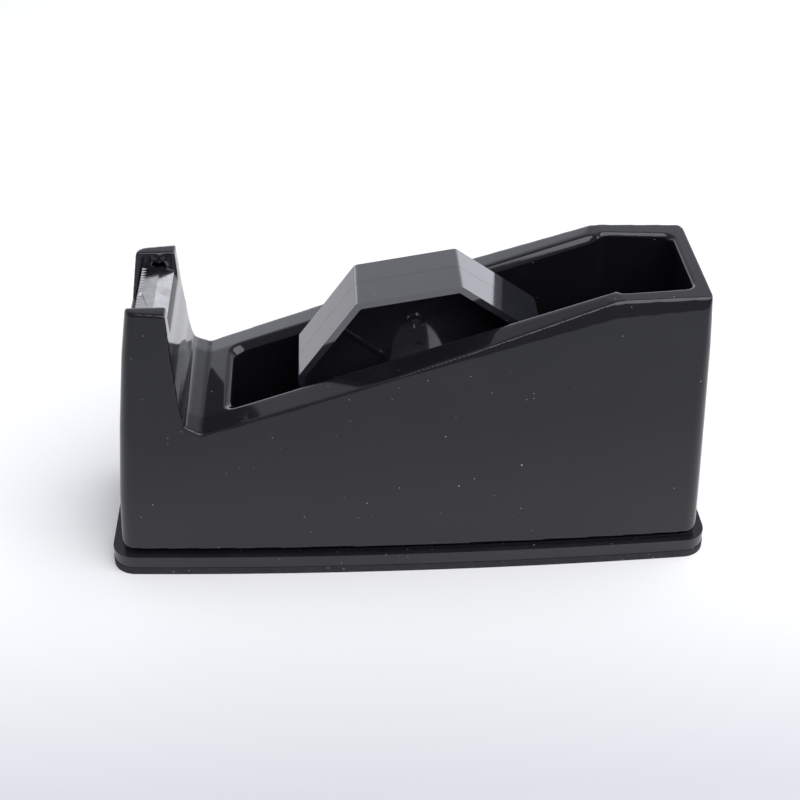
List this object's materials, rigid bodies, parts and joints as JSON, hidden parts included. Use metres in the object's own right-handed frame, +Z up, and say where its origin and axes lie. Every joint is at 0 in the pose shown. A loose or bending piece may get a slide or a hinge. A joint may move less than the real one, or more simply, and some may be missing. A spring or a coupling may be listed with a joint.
{
  "type": "desktop tape dispenser",
  "caption": "Weighted desktop tape dispenser with a sloping open housing, serrated cutting blade between two cheeks and a lift-out octagonal tape hub.",
  "frame": {"origin": "centre of the anti-slip pad's underside", "axes": "+Z up, +X from the blade towards the rear pocket, +Y across the dispenser"},
  "size_m": [0.1733, 0.0588, 0.0844],
  "materials": {
    "housing_plastic": "gloss",
    "blade_steel": "bright stamped sheet",
    "hub_plastic": "gloss",
    "spindle_plastic": "satin",
    "base_plastic": "fine texture",
    "screw_steel": "zinc plated",
    "ballast_iron": "as cast",
    "pad_rubber": "fine foam"
  },
  "bodies": {
    "dispenser": {"housing": "housing_plastic", "blade": "blade_steel", "base_plate": "base_plastic", "base_screws": "screw_steel", "ballast_front": "ballast_iron", "ballast_near": "ballast_iron", "ballast_far": "ballast_iron", "anti_slip_pad": "pad_rubber"},
    "spindle_body": {"spindle": "spindle_plastic"},
    "tape_hub": {"hub_near_half": "hub_plastic", "hub_far_half": "hub_plastic"}
  },
  "joints": [
    {"name": "spindle_lift", "type": "slide", "parent": "dispenser", "child": "spindle_body", "axis": [0, 0, 1], "range_m": [0, 0.085]},
    {"name": "hub_spin", "type": "hinge", "parent": "spindle_body", "child": "tape_hub", "pos_m": [0.00515, 0, 0.0477], "axis": [0, -1, 0], "continuous": true}
  ]
}
